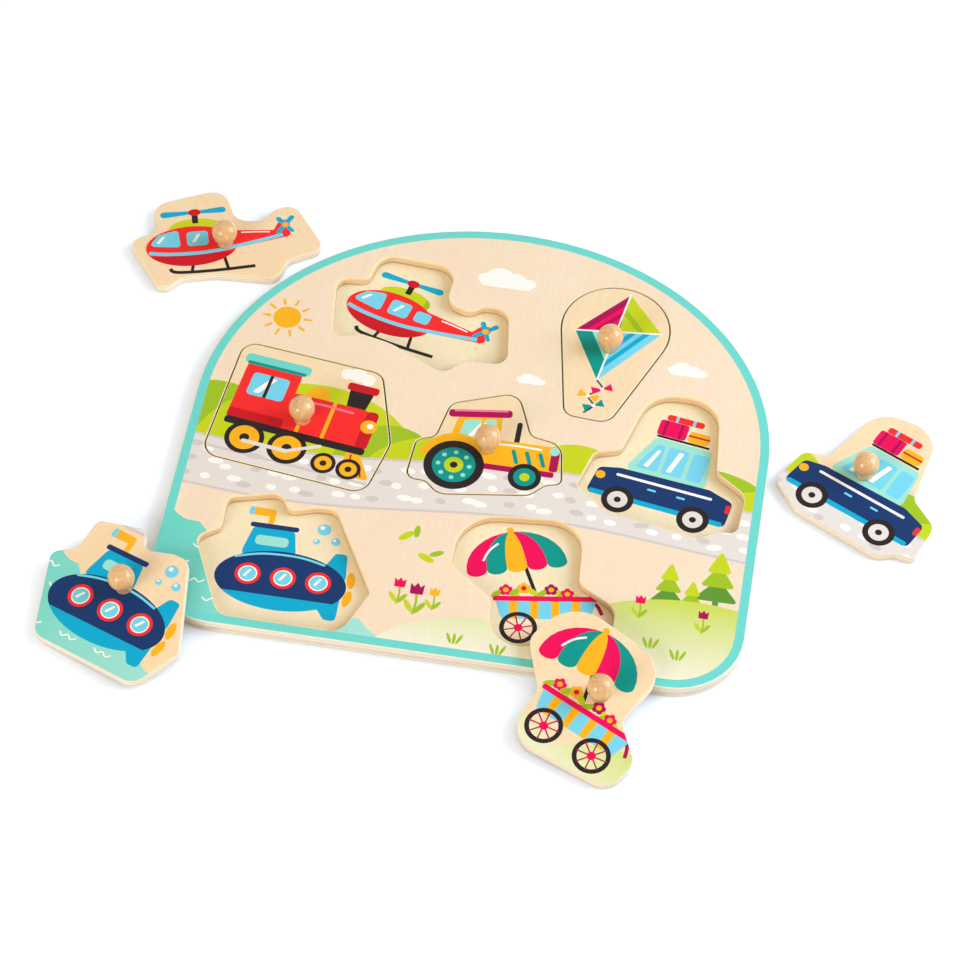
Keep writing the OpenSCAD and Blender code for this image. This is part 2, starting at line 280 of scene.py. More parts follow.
def draw_helicopter(middle):
    p = Picture((middle[0] - 12, middle[1] + 0.4), -15, 0.97)
    # Skids
    p.bar("soot", (-5, -10), (-7, -19), 1.8)
    p.bar("soot", (11, -8), (13, -19), 1.8)
    p.stroke("soot", [(-19, -16.5), (-15, -19.5), (6, -20), (28, -19)], 2.2)
    # Tail
    p.bar("red", (4, 1), (47, 3), 17, 5)
    p.patch("red", [(38, 2), (48, 0), (50, 13), (44, 13)], 1.5)
    p.bar("blue", (42.5, 4), (51, 14.5), 2.2, 3)
    p.bar("blue", (50.5, 4.5), (43.5, 14), 2.2, 3)
    p.oval("amber", 47, 9.3, 1.8)
    # Engine and cabin
    p.oval("lime", -3, 12, 15, 7)
    p.oval("leaf", -3, 12, 15, 7, first=-40, last=40)
    p.oval("red", -6, -1, 25.5, 14.5)
    p.oval("deep_red", -6, -1, 25.5, 14.5, first=205, last=335)
    p.stroke("sky", [(-30, -4), (-18, -6), (2, -6.2), (24, -2.5), (45, 2.2)], 2.4)
    # Windows
    p.patch("sky", [(-30, 1), (-24, 8.6), (-13, 11.6), (-12, -1.5)], 2.5)
    p.patch("white", [(-25.5, 3), (-22, 7.2), (-20, 7.6), (-24, 2.2)], 0.6)
    p.box("sky", -2.5, 4.2, 12, 10.5, 2.6)
    p.patch("white", [(-6, 1.5), (-2.5, 7.5), (-0.5, 7.5), (-4, 1.5)], 0.6)
    p.box("sky", 11.5, 3.6, 9, 7.6, 2.4)
    p.stroke("white", [(22, 6.2), (30, 5.8), (38, 5)], 0.9)
    # Rotor
    p.box("soot", -3, 19.5, 3.4, 8, 0.8)
    p.bar("blue", (-3, 23.6), (-20, 23.2), 2, 4.4)
    p.bar("blue", (-3, 23.6), (12.5, 24.2), 2, 4.4)
    p.oval("deep_red", -3, 23.6, 3.6, 2.5)
    return p


def draw_locomotive(middle):
    p = Picture(middle, -7.6)
    # Rail, smoke, chimney and dome
    p.stroke("pebble", [(-44, -32.6), (0, -32.6), (46, -32.6)], 1.8)
    for x, y, r in ((13, 33.2, 3.6), (18.5, 34, 4.6), (24.5, 32.4, 3.8)):
        p.oval("white", x, y, r)
    p.patch("soot", [(19, 12), (29, 12), (30.5, 24), (17.5, 24)], 1)
    p.box("deep_red", 24, 26, 17, 5, 2)
    p.oval("amber", 3, 12, 6.5, 9, first=0, last=180)
    # Front guard
    p.patch("amber", [(33, -12), (45, -30.5), (28, -30.5), (28, -12)], 2)
    for x in (33, 36.4, 39.8):
        p.bar("deep_red", (x - 2, -17 - (x - 33)), (x, -29), 0.9)
    # Boiler and lamp
    p.box("red", 11, 0.5, 50, 25, 8)
    p.box("deep_red", 34, 0.5, 6.5, 25, 3)
    p.oval("amber", 34.2, 3, 4.4)
    p.oval("white", 34.8, 3.6, 1.7)
    for x in (-1, 13):
        p.box("amber", x, 0.5, 2, 25)
    p.stroke("rose", [(-2, 9.4), (10, 9.7), (24, 9.2)], 1.5)
    # Cab
    p.box("red", -24, 7, 30, 38, 3)
    p.box("deep_red", -24, -8.5, 30, 6, 1.5)
    p.box("sky", -24, 12.5, 20, 15, 2.5)
    p.patch("white", [(-31, 7), (-24, 18.5), (-20.5, 18.5), (-27.5, 7)], 0.8)
    p.box("soot", -24, 12.5, 1.8, 15)
    p.box("turquoise", -23.5, 28.2, 36, 6.4, 3)
    p.box("teal", -23.5, 25.6, 32, 2.2, 1)
    # Frame, wheels and rods
    p.box("soot", -1, -13.5, 76, 4.6, 2)
    for x in (-25, -2):
        p.wheel(x, -22.5, 10.4, 2.6, 2.6, "amber", "soot")
    for x in (19, 32.5):
        p.wheel(x, -26.2, 6.6, 2, 1.8, "amber", "soot")
    p.bar("stone", (-25, -24.6), (-2, -24.6), 2.4)
    p.bar("stone", (-2, -24.6), (14, -16.4), 2)
    return p


def draw_tractor(middle):
    p = Picture(middle)
    # Exhaust and cab
    p.bar("soot", (13.2, 3), (13.2, 16), 2.8)
    p.patch("amber", [(-24, -14), (4, -14), (4, 19), (-19, 16)], 2)
    p.patch("mint", [(-17.5, 0), (1.2, 0), (1.2, 17.5), (-15.5, 14.5)], 2)
    p.patch("white", [(-13.5, 3), (-7, 14), (-4, 14.4), (-10.5, 3)], 0.6)
    p.box("amber", -6, 8, 1.8, 18)
    p.box("plum", -8, 19.8, 33, 5, 2.2, lean=8)
    p.box("rose", -8, 21.6, 28, 1.2, 0.5, lean=8)
    # Bonnet
    p.box("amber", 17, -4.5, 39, 17.5, 5)
    p.box("plum", 34.2, -5, 4.4, 13, 1.6)
    p.box("plum", 14, -13.6, 42, 3.6, 1.4)
    for x in (12.5, 19.5, 26.5):
        p.bar("teal", (x, -1.6), (x + 2.4, -8.6), 2.2)
    p.stroke("white", [(4, 1.6), (14, 2), (27, 1.6)], 1.2)
    p.oval("mint", 33.4, 1.4, 2.6)
    # Mudguard and wheels
    p.oval("amber", -16.5, -13.5, 18.6, first=10, last=175)
    p.wheel(-16.5, -15.5, 15.6, 4.4, 5, "teal", "lime")
    for k in range(8):
        a = math.radians(45 * k)
        p.oval("mint", -16.5 + 8.1 * math.cos(a), -15.5 + 8.1 * math.sin(a), 1.25)
    p.oval("soot", -16.5, -15.5, 2)
    p.wheel(20.5, -17.2, 8.6, 2.8, 2.6, "teal", "lime")
    return p


def draw_kite(middle):
    p = Picture(middle)
    top, right, low, left = (5, 41.5), (24.5, 17.5), (-5, -19), (-21, 13)
    cross = (1.9, 15.6)
    p.patch("plum", [left, cross, top])
    p.patch("lime", [top, cross, right])
    p.patch("sky", [right, cross, low])
    p.patch("teal", [low, cross, left])

    def between(a, b, t):
        return (a[0] + (b[0] - a[0]) * t, a[1] + (b[1] - a[1]) * t)

    def band(ink, a, b, first, last):
        p.patch(ink, [between(cross, a, first), between(cross, a, last),
                      between(cross, b, last), between(cross, b, first)])

    for share in (0.28, 0.6):
        band("blue", right, low, share, share + 0.16)
        band("pink", top, left, share, share + 0.16)
    band("leaf", right, top, 0.45, 0.62)
    band("mint", left, low, 0.45, 0.62)
    # Spars and tail
    p.bar("white", top, low, 1)
    p.bar("white", left, right, 1)
    tail = [(-5, -19), (-1.5, -24.5), (-8, -30), (-4.5, -36), (-9, -41.5)]
    p.stroke("navy", tail, 1)
    for (x, y), ink, lean in ((tail[1], "pink", 20), (tail[2], "amber", -15), (tail[3], "teal", 25)):
        for side in (-1, 1):
            p.add(ink, turned([(0, 0), (side * 5.4, 2.6), (side * 5.4, -2.6)], lean, (x, y)))
        p.oval("white", x, y, 1.1)
    return p


def draw_van(middle):
    p = Picture((middle[0], middle[1] - 0.4), -9, 0.91)
    # Luggage
    p.box("red", 2, 36.6, 22, 4.4, 2)
    for x in (-3, 7):
        p.box("sky", x, 36.6, 1.6, 4.4)
    p.box("pink", -3.4, 28.6, 17, 11.4, 2)
    for x in (-8, 1.2):
        p.box("plum", x, 28.6, 1.8, 11.4)
    p.box("amber", 12.4, 27, 12.6, 8.2, 3)
    p.box("deep_red", 12.4, 27.6, 12.6, 1.3)
    p.box("soot", 4.4, 22, 31, 1.6, 0.7)
    # Windows
    p.patch("mint", [(-22.5, -7), (25.5, -7), (22, 20.5), (-11, 20.5)], 4)
    p.patch("sky", [(-17, -3.5), (-4, -3.5), (-4, 16), (-8.6, 16)], 2)
    p.patch("white", [(-12.6, -1.5), (-7.4, 12), (-5.4, 12), (-9.6, -1.5)], 0.6)
    p.box("sky", 4.2, 6.3, 12, 19.5, 2)
    p.box("sky", 17.2, 6.3, 9, 19.5, 2)
    p.patch("white", [(0.6, -1.5), (4.6, 14), (7.6, 14), (3.6, -1.5)], 0.6)
    # Body and wheels
    p.patch("navy", [(-38.5, -29), (42.5, -29), (43, -11), (28, -6), (-24, -7), (-36, -10)], 4)
    p.box("blue", 2, -27.4, 78, 3.4, 1.5)
    p.box("white", 3, -12, 56, 1.8, 0.8)
    p.oval("amber", -33.6, -15, 2.8)
    p.box("red", 41.2, -16, 2.6, 6, 1.2)
    p.box("sky", -3, -16.8, 5, 1.4, 0.6)
    p.box("sky", 14, -16.8, 5, 1.4, 0.6)
    for x in (-19.5, 24.5):
        p.wheel(x, -29, 9.2, 3.4, 2, "stone", "soot")
    return p


def draw_submarine(middle):
    p = Picture(middle)
    # Fins and propeller
    p.patch("blue", [(18, -2), (24, 11), (30, 11), (32, -6)], 2.5)
    p.patch("blue", [(16, -18), (25, -30), (31, -30), (31, -12)], 2.5)
    p.oval("amber", 34.4, -4.4, 2.2, 5, lean=8)
    p.oval("amber", 34.4, -15.6, 2.2, 5, lean=-8)
    # Periscope and tower
    p.stroke("amber", [(-12, 20), (-12, 29.5), (-12.4, 31)], 3)
    p.patch("amber", [(-23, 28), (-11, 28), (-10.5, 32.6), (-23, 33)], 1.8)
    p.oval("sky", -23, 30.4, 1.5, 2.8)
    p.patch("blue", [(-24, 2), (5, 2), (1, 21.5), (-20, 21.5)], 4)
    p.box("navy", -9.6, 22, 25, 3, 1.4)
    p.box("mint", -9.4, 13, 17, 6, 2.6)
    # Hull and portholes
    p.oval("navy", -0.5, -10.5, 33.5, 18)
    p.oval("blue", -0.5, -10.5, 33.5, 18, first=212, last=328)
    p.stroke("sky", [(-26, 0.8), (-12, 4.8), (6, 5.4), (20, 2.6)], 1.3)
    for x in (-17.5, 0.5, 18.5):
        p.oval("red", x, -8.5, 6.6)
        p.oval("white", x, -8.5, 4.9)
        p.oval("sky", x, -8.5, 4.2)
        p.patch("white", [(x - 2.4, -10), (x + 0.4, -5.6), (x + 1.6, -6), (x - 1, -10.6)], 0.4)
    # Bubbles
    for x, y, r in ((15.5, 24.5, 3.6), (22.5, 18, 2.4), (13, 16.5, 1.8)):
        p.oval("sky", x, y, r)
        p.oval("white", x - r * 0.3, y + r * 0.3, r * 0.35)
    return p


def draw_cart(middle):
    p = Picture((middle[0] - 1.2, middle[1] + 0.6), 8.8, 0.95)
    # Parasol
    p.bar("soot", (3.5, -9), (-6, 22), 2)
    dome = (-7.5, 12.5, 27, 23)
    inks = ["pink", "teal", "amber", "pink", "teal"]
    p.fan(inks, *dome, lean=9)
    for k, ink in enumerate(inks):
        x = dome[2] * (2 * (k + 0.5) / len(inks) - 1)
        p.add(ink, turned(half_disc(x, dome[2] / len(inks), 3.6), 9, dome[:2]))
    p.oval("amber", -11.2, 36.2, 2)
    p.stroke("white", [(-25.5, 16), (-22.5, 22.5), (-17.5, 27.5)], 1.2)
    # Flowers
    for x, y, ink in ((-13.5, -2.6, "pink"), (-4, -1.4, "amber"), (10.5, -2.2, "plum"), (19, -4.8, "pink")):
        p.oval("leaf", x - 4.4, y - 2.2, 4, 1.7, lean=35)
        p.oval("lime", x + 4.4, y - 2.2, 4, 1.7, lean=-35)
        flower(p, ink, x, y, 2.1)
    # Handle and box
    p.stroke("plum", [(30, -9), (34.5, -12), (37, -18)], 2)
    p.patch("sky", [(-16, -21), (31, -21), (34.5, -7.4), (-19.5, -7.4)], 2)
    for x in (-9.5, 1.5, 12.5, 23.5):
        p.patch("amber", [(x - 2, -21), (x + 2, -21), (x + 2.4, -7.4), (x - 2.4, -7.4)])
    p.box("pink", 7.5, -8, 56, 3.2, 1.5)
    # Wheels
    for x in (-7, 22.5):
        p.ring("soot", x, -26.6, 10, 2.5)
        for k in range(4):
            a = math.radians(45 * k + 10)
            reach = (8 * math.cos(a), 8 * math.sin(a))
            p.bar("plum", (x - reach[0], -26.6 - reach[1]), (x + reach[0], -26.6 + reach[1]), 0.8)
        p.oval("pink", x, -26.6, 2.4)
    return p


def half_disc(x, rx, ry):
    angles = [math.radians(180 + 180 * i / 10) for i in range(11)]
    return [(x + rx * math.cos(a), ry * math.sin(a) + 0.02) for a in angles]


def flower(p, ink, x, y, r):
    """A flower head of five round petals."""
    for k in range(5):
        a = math.radians(72 * k + 90)
        p.oval(ink, x + r * math.cos(a), y + r * math.sin(a), r * 0.78)
    p.oval("amber" if ink != "amber" else "deep_red", x, y, r * 0.7)


def cloud(p, x, y, size):
    for dx, dy, r in ((-0.9, 0, 0.42), (-0.35, 0.22, 0.6), (0.35, 0.1, 0.5), (0.95, -0.05, 0.36)):
        p.oval("white", x + dx * size, y + dy * size, r * size, r * size * 0.8)
    p.box("white", x, y - 0.2 * size, 2.3 * size, 0.44 * size, 0.2 * size)


def fir(p, x, y, h):
    """A pointed tree of three tiers."""
    p.box("deep_leaf", x, y + h * 0.06, h * 0.09, h * 0.16)
    for k, ink in enumerate(("deep_leaf", "leaf", "lime")):
        low, reach = y + h * (0.12 + 0.26 * k), h * (0.34 - 0.075 * k)
        p.patch(ink, [(x - reach, low), (x + reach, low), (x, low + h * 0.42)], h * 0.05)


def tulip(p, ink, x, y, h):
    p.stroke("leaf", [(x, y), (x + h * 0.04, y + h * 0.4), (x, y + h * 0.75)], h * 0.07)
    p.oval("lime", x - h * 0.16, y + h * 0.26, h * 0.24, h * 0.08, lean=125)
    p.oval("leaf", x + h * 0.16, y + h * 0.24, h * 0.24, h * 0.08, lean=55)
    cup, low, high = h * 0.2, y + h * 0.68, y + h * 1.05
    notch = high - h * 0.12
    sides = [(x - cup, high), (x - cup * 0.9, low), (x + cup * 0.9, low), (x + cup, high)]
    tips = [(x + cup * 0.45, notch), (x, high + h * 0.03), (x - cup * 0.45, notch)]
    p.patch(ink, sides + tips, h * 0.02)


def draw_country(field):
    """The country round the pieces: hills, a stone path, water, a meadow, clouds and a sun."""
    p = Picture()
    x0, y0, x1, y1 = field
    hills = [(x0 + 6, -34, 42, 46, "leaf"), (x0 + 58, -40, 62, 58, "lime"), (-44, -36, 30, 34, "leaf"),
             (-18, -40, 40, 34, "lime"), (52, -40, 34, 42, "lime"), (x1 - 26, -42, 46, 40, "leaf"),
             (x1 + 6, -46, 36, 34, "lime")]
    for x, y, rx, ry, ink in hills:
        p.oval(ink, x, y, rx, ry, first=0, last=180)
    draw_path(p, x0, x1)
    draw_water(p, x0, y0)
    draw_meadow(p, x1, y0)
    for x, y, size in ((-2, 105, 12), (101, 60, 8), (21, 40, 6)):
        cloud(p, x, y, size)
    sun(p, -113, 60)
    return p


def sun(p, x, y):
    for k in range(10):
        a = math.radians(36 * k)
        p.bar("amber", (x + 9.5 * math.cos(a), y + 9.5 * math.sin(a)),
              (x + 13 * math.cos(a), y + 13 * math.sin(a)), 1.6, 1)
    p.oval("amber", x, y, 7.4)


def draw_path(p, x0, x1):
    """A pale path of flat stones from side to side, with a darker edge."""
    steps = 40
    xs = [x0 - 5 + (x1 - x0 + 10) * i / steps for i in range(steps + 1)]

    def middle(x):
        return -38 + 5 * math.sin(x / 42 + 0.6)

    for ink, half in (("pebble", 16.5), ("stone", 15)):
        p.add(ink, [(x, middle(x) - half) for x in xs] + [(x, middle(x) + half) for x in reversed(xs)])
    for i, x in enumerate(range(int(x0), int(x1) + 8, 11)):
        for row in (-9, 0, 9):
            shift = 3 * math.sin(2.3 * i + row)
            p.oval("white" if (i + row) % 3 else "pebble", x + shift, middle(x) + row + shift * 0.4,
                   3.4 + 0.8 * math.sin(i * 1.7 + row), 1.9, lean=8 * math.sin(3.1 * i))


def draw_water(p, x0, y0):
    """Water in the near left corner, with a scalloped shore and rows of small waves."""
    shore, x, y = [], x0 - 4, -70
    while y > y0 - 6:
        for k in range(6):
            t = k / 6
            shore.append((x + 18 * t, y - 9 * t - 3.4 * math.sin(math.pi * t)))
        x, y = x + 18, y - 9
    p.add("water", [(x0 - 4, y0 - 6)] + [(x, y0 - 6)] + shore[::-1])
    for row in range(6):
        for k in range(9 - row):
            wx, wy = x0 + 9 + 21 * k + 10 * (row % 2), y0 + 8 + 10.5 * row
            if wy < -84 - 0.5 * (wx - x0):
                wave = [(wx + 2.5 * i, wy + (1.2 if i % 2 == 0 else -0.6)) for i in range(-2, 3)]
                p.stroke("white", wave, 0.8)


def draw_meadow(p, x1, y0):
    """A meadow in the near right corner, with pointed trees, tulips and grass."""
    for x, y, h in ((x1 - 12, -88, 34), (x1 - 36, -92, 27), (x1 - 24, -97, 23)):
        fir(p, x, y, h)
    p.oval("meadow", x1 - 22, y0 - 18, 88, 66)
    p.oval("meadow", 22, y0 - 22, 62, 42)
    for ink, x, y, h in (("pink", -24, -112, 15), ("plum", -15, -117, 18), ("amber", -6, -113, 13),
                         ("pink", 96, -100, 13), ("plum", 128, -104, 13)):
        tulip(p, ink, x, y, h)
    for x, y in ((8, -131), (30, -134), (60, -133), (104, -117), (118, -122)):
        for lean in (-24, 0, 24):
            p.oval("leaf", x - lean * 0.11, y + 3, 3.4, 0.8, lean=90 + lean)
    for x, y, lean in ((-26, -70, 40), (-14, -82, -25)):
        p.oval("lime", x, y, 4.6, 1.9, lean=lean)
        p.oval("leaf", x + 5, y + 3.4, 3.8, 1.6, lean=lean + 50)


# Outlines read from the CAD part

def welded(node):
    """A node's points, one for each place, and its faces as point numbers."""
    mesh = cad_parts[node].data
    seen, points, number = {}, [], []
    for v in mesh.vertices:
        place = tuple(round(c / (MM * 1e-4)) for c in v.co)
        if place not in seen:
            seen[place] = len(points)
            points.append(tuple(c / MM for c in v.co))
        number.append(seen[place])
    return np.array(points), [[number[i] for i in face.vertices] for face in mesh.polygons]


def flat_loops(node, up):
    """The border loops, in order and in millimetres, of a node's flat face farthest along up."""
    points, faces = welded(node)
    heights = points @ up
    flat = [f for f in faces if heights[f].min() > heights.max() - 0.01]
    sides = {(a, b) for f in flat for a, b in zip(f, f[1:] + f[:1])}
    after = {a: b for a, b in sides if (b, a) not in sides}
    loops = []
    while after:
        first = min(after)
        loop, point = [first], after.pop(first)
        while point != first:
            loop.append(point)
            point = after.pop(point)
        loops.append(points[loop])
    return sorted(loops, key=lambda loop: -np.ptp(loop, axis=0).max())


def top_direction(node):
    """The direction that a flat piece's upper face looks in."""
    weights = {}
    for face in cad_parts[node].data.polygons:
        if face.normal.z > 0.5:
            key = tuple(round(c, 2) for c in face.normal)
            weights[key] = weights.get(key, Vector((0, 0, 0))) + face.normal * face.area
    return np.array(max(weights.values(), key=lambda v: v.length).normalized())


def inward(loop, distance):
    """A loop moved by a distance to its left, which is the side that the material is on."""
    loop = np.asarray(loop)[:, :2]
    ahead = np.roll(loop, -1, axis=0) - loop
    ahead /= np.linalg.norm(ahead, axis=1)[:, None]
    normal = np.c_[-ahead[:, 1], ahead[:, 0]]
    both = normal + np.roll(normal, 1, axis=0)
    both /= (both * normal).sum(axis=1)[:, None]
    return loop + distance * both


def rigid_fit(flat, placed):
    """The turn and shift that carry flat points onto placed ones, and what is left over."""
    a, b = flat.mean(axis=0), placed.mean(axis=0)
    u, _, v = np.linalg.svd((flat - a).T @ (placed - b))
    turn = (u @ np.diag([1, 1, np.sign(np.linalg.det(u @ v))]) @ v).T
    shift = b - turn @ a
    return turn, shift, np.abs(flat @ turn.T + shift - placed).max()


def fit_sizes(pockets):
    """How far a piece's side and underside stand in from the pocket's side, and its thickness."""
    node = HOME_PIECE + "_tile"
    low, high = (np.array(c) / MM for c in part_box(node))
    width = (high - low)[0]
    middle = (low + high)[:2] / 2
    pocket = min(pockets, key=lambda p: np.linalg.norm((p.min(axis=0) + p.max(axis=0))[:2] / 2 - middle))
    under = np.ptp(flat_loops(node, np.array([0, 0, -1.0]))[0][:, 0])
    gap = (np.ptp(pocket[:, 0]) - width) / 2
    return gap, gap + (width - under) / 2, (high - low)[2]


def find_piece(name, pockets, sizes):
    """A piece's pocket and the pose that carries it from flat over its pocket to where it lies."""
    up = top_direction(name + "_tile")
    under = flat_loops(name + "_tile", -up)[0][::-1]
    tries = []
    for pocket in pockets:
        if len(pocket) == len(under):
            outline = pocket[::-1]
            flat = np.c_[inward(outline, sizes[1]), np.zeros(len(under))]
            for shift in range(len(under)):
                tries.append((*rigid_fit(flat, np.roll(under, shift, axis=0)), outline[:, :2]))
    turn, shift, _, outline = min(tries, key=lambda t: t[2])
    pose = Matrix.Identity(4)
    for i in range(3):
        pose[i] = (*turn[i], shift[i] * MM)
    return outline, pose


# Meshes

def new_object(name, data):
    made = bpy.data.objects.new(name, data)
    bpy.context.scene.collection.objects.link(made)
    return made


class Slab:
    """A closed solid of flat sheets and the walls between them, in millimetres."""

    def __init__(self):
        self.points, self.faces, self.looks, self.soft = [], [], [], []

    def face(self, corners, look, soft=False):
        self.faces.append(corners)
        self.looks.append(look)
        self.soft.append(soft)

    def ring(self, loop, z):
        first = len(self.points)
        self.points += [(x, y, z) for x, y in np.asarray(loop)[:, :2]]
        return [[first + i] for i in range(len(loop))]

    def sheet(self, loops, z, bare, shapes=(), fields=()):
        """A flat face inside the first loop and outside the others, cut along its printed shapes.
        It gives back each loop's chain of points."""
        points, triangles, inks, chains = cut_sheet(loops, shapes, fields)
        first = len(self.points)
        self.points += [(x, y, z) for x, y in points]
        for corners, ink in zip(triangles, inks):
            self.face([first + i for i in corners], ink or bare)
        return [[[first + i for i in link] for link in chain] for chain in chains]

    def skin(self, rings, look, soft=True):
        for a, b in zip(rings, rings[1:]):
            for k in range(len(a)):
                j = (k + 1) % len(a)
                self.face(a[k] + [a[j][0], b[j][0]] + b[k][::-1], look, soft)

    def object(self, name, pose=Matrix.Identity(4)):
        """The solid as a piece, carried by a pose. Its points keep their flat place, for grain and plies."""
        mesh = bpy.data.meshes.new(name)
        flat = np.array(self.points) * MM
        mesh.from_pydata([pose @ Vector(p) for p in flat], [], self.faces)
        mesh.attributes.new(FLAT_PLACE, "FLOAT_VECTOR", "POINT").data.foreach_set("vector", flat.ravel())
        names = sorted(set(self.looks))
        for look in names:
            mesh.materials.append(material(look))
        mesh.polygons.foreach_set("material_index", [names.index(look) for look in self.looks])
        mesh.polygons.foreach_set("use_smooth", self.soft)
        tidy = bmesh.new()
        tidy.from_mesh(mesh)
        bmesh.ops.delete(tidy, geom=[v for v in tidy.verts if not v.link_faces], context="VERTS")
        bmesh.ops.recalc_face_normals(tidy, faces=tidy.faces)
        tidy.to_mesh(mesh)
        tidy.free()
        return new_object(name, mesh)


def cut_sheet(loops, shapes, fields):
    """Cuts a sheet along shapes. Later ones lie over earlier ones, and each prints only inside its field."""
    outlines = [np.asarray(loop)[:, :2] for loop in loops]
    ringed = [counter_clockwise([tuple(p) for p in o]) for o in [*outlines, *fields]]
    ringed += [outline for _, outline, _ in shapes]
    points, faces = [], []
    for outline in ringed:
        faces.append(list(range(len(points), len(points) + len(outline))))
        points += [Vector(p) for p in outline]
    found, _, triangles, _, _, origins = delaunay_2d_cdt(points, [], faces, 1, 1e-4, True)
    kept, inks = [], []
    for corners, inside in zip(triangles, origins):
        inside = set(inside)
        if 0 in inside and not inside & set(range(1, len(loops))):
            kept.append(list(corners))
            inks.append(top_ink(inside, shapes, len(loops), len(loops) + len(fields)))
    return [tuple(p) for p in found], kept, inks, chains_of(outlines, found, kept)


def top_ink(inside, shapes, first_field, first_shape):
    for i in sorted(inside, reverse=True):
        if i >= first_shape:
            ink, _, field = shapes[i - first_shape]
            if field is None or first_field + field in inside:
                return ink
    return None


def chains_of(outlines, found, triangles):
    """For each side of each outline, its first point and the points that printed shapes added along it."""
    sides = {(a, b) for t in triangles for a, b in zip(t, t[1:] + t[:1])}
    after = {a: b for a, b in sides if (b, a) not in sides}
    places = np.array([found[a][:] for a in after])
    numbers = list(after)
    chains = []
    for outline in outlines:
        at = [numbers[int(np.argmin(((places - p) ** 2).sum(axis=1)))] for p in outline]
        chain = []
        for a, b in zip(at, at[1:] + at[:1]):
            link = [a]
            while after[link[-1]] != b:
                link.append(after[link[-1]])
            chain.append(link)
        chains.append(chain)
    return chains


def eased(slab, loop, z, ease, top):
    """Rings that round an edge over from the flat face's rim to the wall, first the rim's neighbour."""
    rings = []
    for k in range(1, EASE_STEPS + 1):
        a = math.radians(90 * k / EASE_STEPS)
        drop = ease * (1 - math.cos(a))
        rings.append(slab.ring(inward(loop, ease * (1 - math.sin(a))), z - drop if top else z + drop))
    return rings


def make_frame_board(outer, pockets, country):
    slab = Slab()
    low, high = [corner.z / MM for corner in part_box("frame_board")]
    rims = [inward(outer, BOARD_EASE)] + [inward(p, POCKET_LIP) for p in pockets]
    fields = [inward(outer, BORDER_START), inward(outer, BORDER_END)]
    border = [("turquoise", counter_clockwise([tuple(p) for p in fields[0]]), None),
              (None, counter_clockwise([tuple(p) for p in fields[1]]), None)]
    printed = border + [(ink, outline, 1) for ink, outline in country]
    chains = slab.sheet(rims, high, "board_face", printed, fields)
    floor = slab.sheet([inward(outer, GLUE_GROOVE), *pockets], low, "board_edge")
    outer_rings = eased(slab, outer, high, BOARD_EASE, True) + [slab.ring(outer, low + GLUE_GROOVE)]
    slab.skin([chains[0], *outer_rings, floor[0]], "board_edge")
    for pocket, chain, foot in zip(pockets, chains[1:], floor[1:]):
        lip = eased(slab, pocket, high, POCKET_LIP, True)
        slab.skin([chain, *lip], "pocket_lip")
        slab.skin([lip[-1], foot], "pocket_wall")
    return slab.object("printed_frame")


def make_base_board(outer, pockets, pictures):
    slab = Slab()
    low, high = [corner.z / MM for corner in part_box("base_board")]
    printed = [(ink, outline, i) for i, picture in enumerate(pictures) for ink, outline in picture.shapes]
    chains = slab.sheet([inward(outer, GLUE_GROOVE)], high, "floor_face", printed, pockets)
    under = slab.sheet([inward(outer, UNDER_EASE)], low, "board_under")
    rings = [slab.ring(outer, high - GLUE_GROOVE)] + eased(slab, outer, low, UNDER_EASE, False)[::-1]
    slab.skin([chains[0], *rings, under[0]], "board_edge")
    return slab.object("printed_base")


def make_tile(name, outline, pose, sizes, picture, country):
    """A piece, flat over its pocket, with the hole for its peg, carried to where it lies."""
    slab = Slab()
    gap, under_in, thick = sizes
    hole, depth = peg_hole(name, pose, thick)
    printed = [(ink, points, None) for ink, points in country + picture.shapes]
    side, under_ease = inward(outline, gap + TILE_TRIM), under_in - gap
    chains = slab.sheet([inward(side, TILE_EASE), hole], thick, "piece_face", printed)
    under = slab.sheet([inward(side, under_ease)], 0, "piece_under")
    rings = eased(slab, side, thick, TILE_EASE, True) + eased(slab, side, 0, under_ease, False)[::-1]
    slab.skin([chains[0], *rings, under[0]], "piece_edge")
    bottom = slab.ring(hole, thick - depth)
    slab.skin([chains[1], bottom], "piece_edge")
    slab.face([link[0] for link in bottom], "piece_edge")
    return slab.object(name + "_piece_print", pose), hole.mean(axis=0)


def flat_points(node, pose):
    """A node's points in millimetres, brought back to the flat place over its pocket."""
    back = pose.inverted()
    return np.array([(back @ v.co)[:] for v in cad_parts[node].data.vertices]) / MM


def peg_hole(name, pose, thick):
    """The rim of a piece's peg hole, and how deep its peg goes in."""
    up = top_direction(name + "_tile")
    rim = flat_loops(name + "_tile", up)[-1]
    back = pose.inverted()
    hole = np.array([(back @ Vector(p * MM))[:] for p in rim])[:, :2] / MM
    return hole, thick - flat_points(name + "_peg", pose)[:, 2].min()


def make_peg(name, pose, axis):
    """A turned peg: the CAD peg's own tenon, foot and neck, and a finer ball."""
    points = flat_points(name + "_peg", pose)
    radii, heights = np.hypot(points[:, 0] - axis[0], points[:, 1] - axis[1]), points[:, 2]
    ball = radii.max()
    centre = heights.max() - ball
    stem = abs(np.hypot(radii, heights - centre) - ball) > 0.05
    profile = sorted({(round(z, 2), round(r, 2)) for z, r in zip(heights[stem], radii[stem])})
    start = math.acos((heights[~stem].min() - centre) / ball)
    for k in range(PEG_RINGS):
        a = start * (1 - k / PEG_RINGS)
        profile.append((centre + ball * math.cos(a), ball * math.sin(a)))
    slab = Slab()
    turns = [math.tau * i / PEG_SIDES for i in range(PEG_SIDES)]
    circle = np.array([(math.cos(a), math.sin(a)) for a in turns])
    rings = [slab.ring(axis + r * circle, z) for z, r in profile]
    slab.skin(rings, "peg_wood")
    slab.face([link[0] for link in rings[0]], "peg_wood")
    slab.face([link[0] for link in rings[-1]], "peg_wood", True)
    return slab.object(name + "_peg_turned", pose)


# Materials

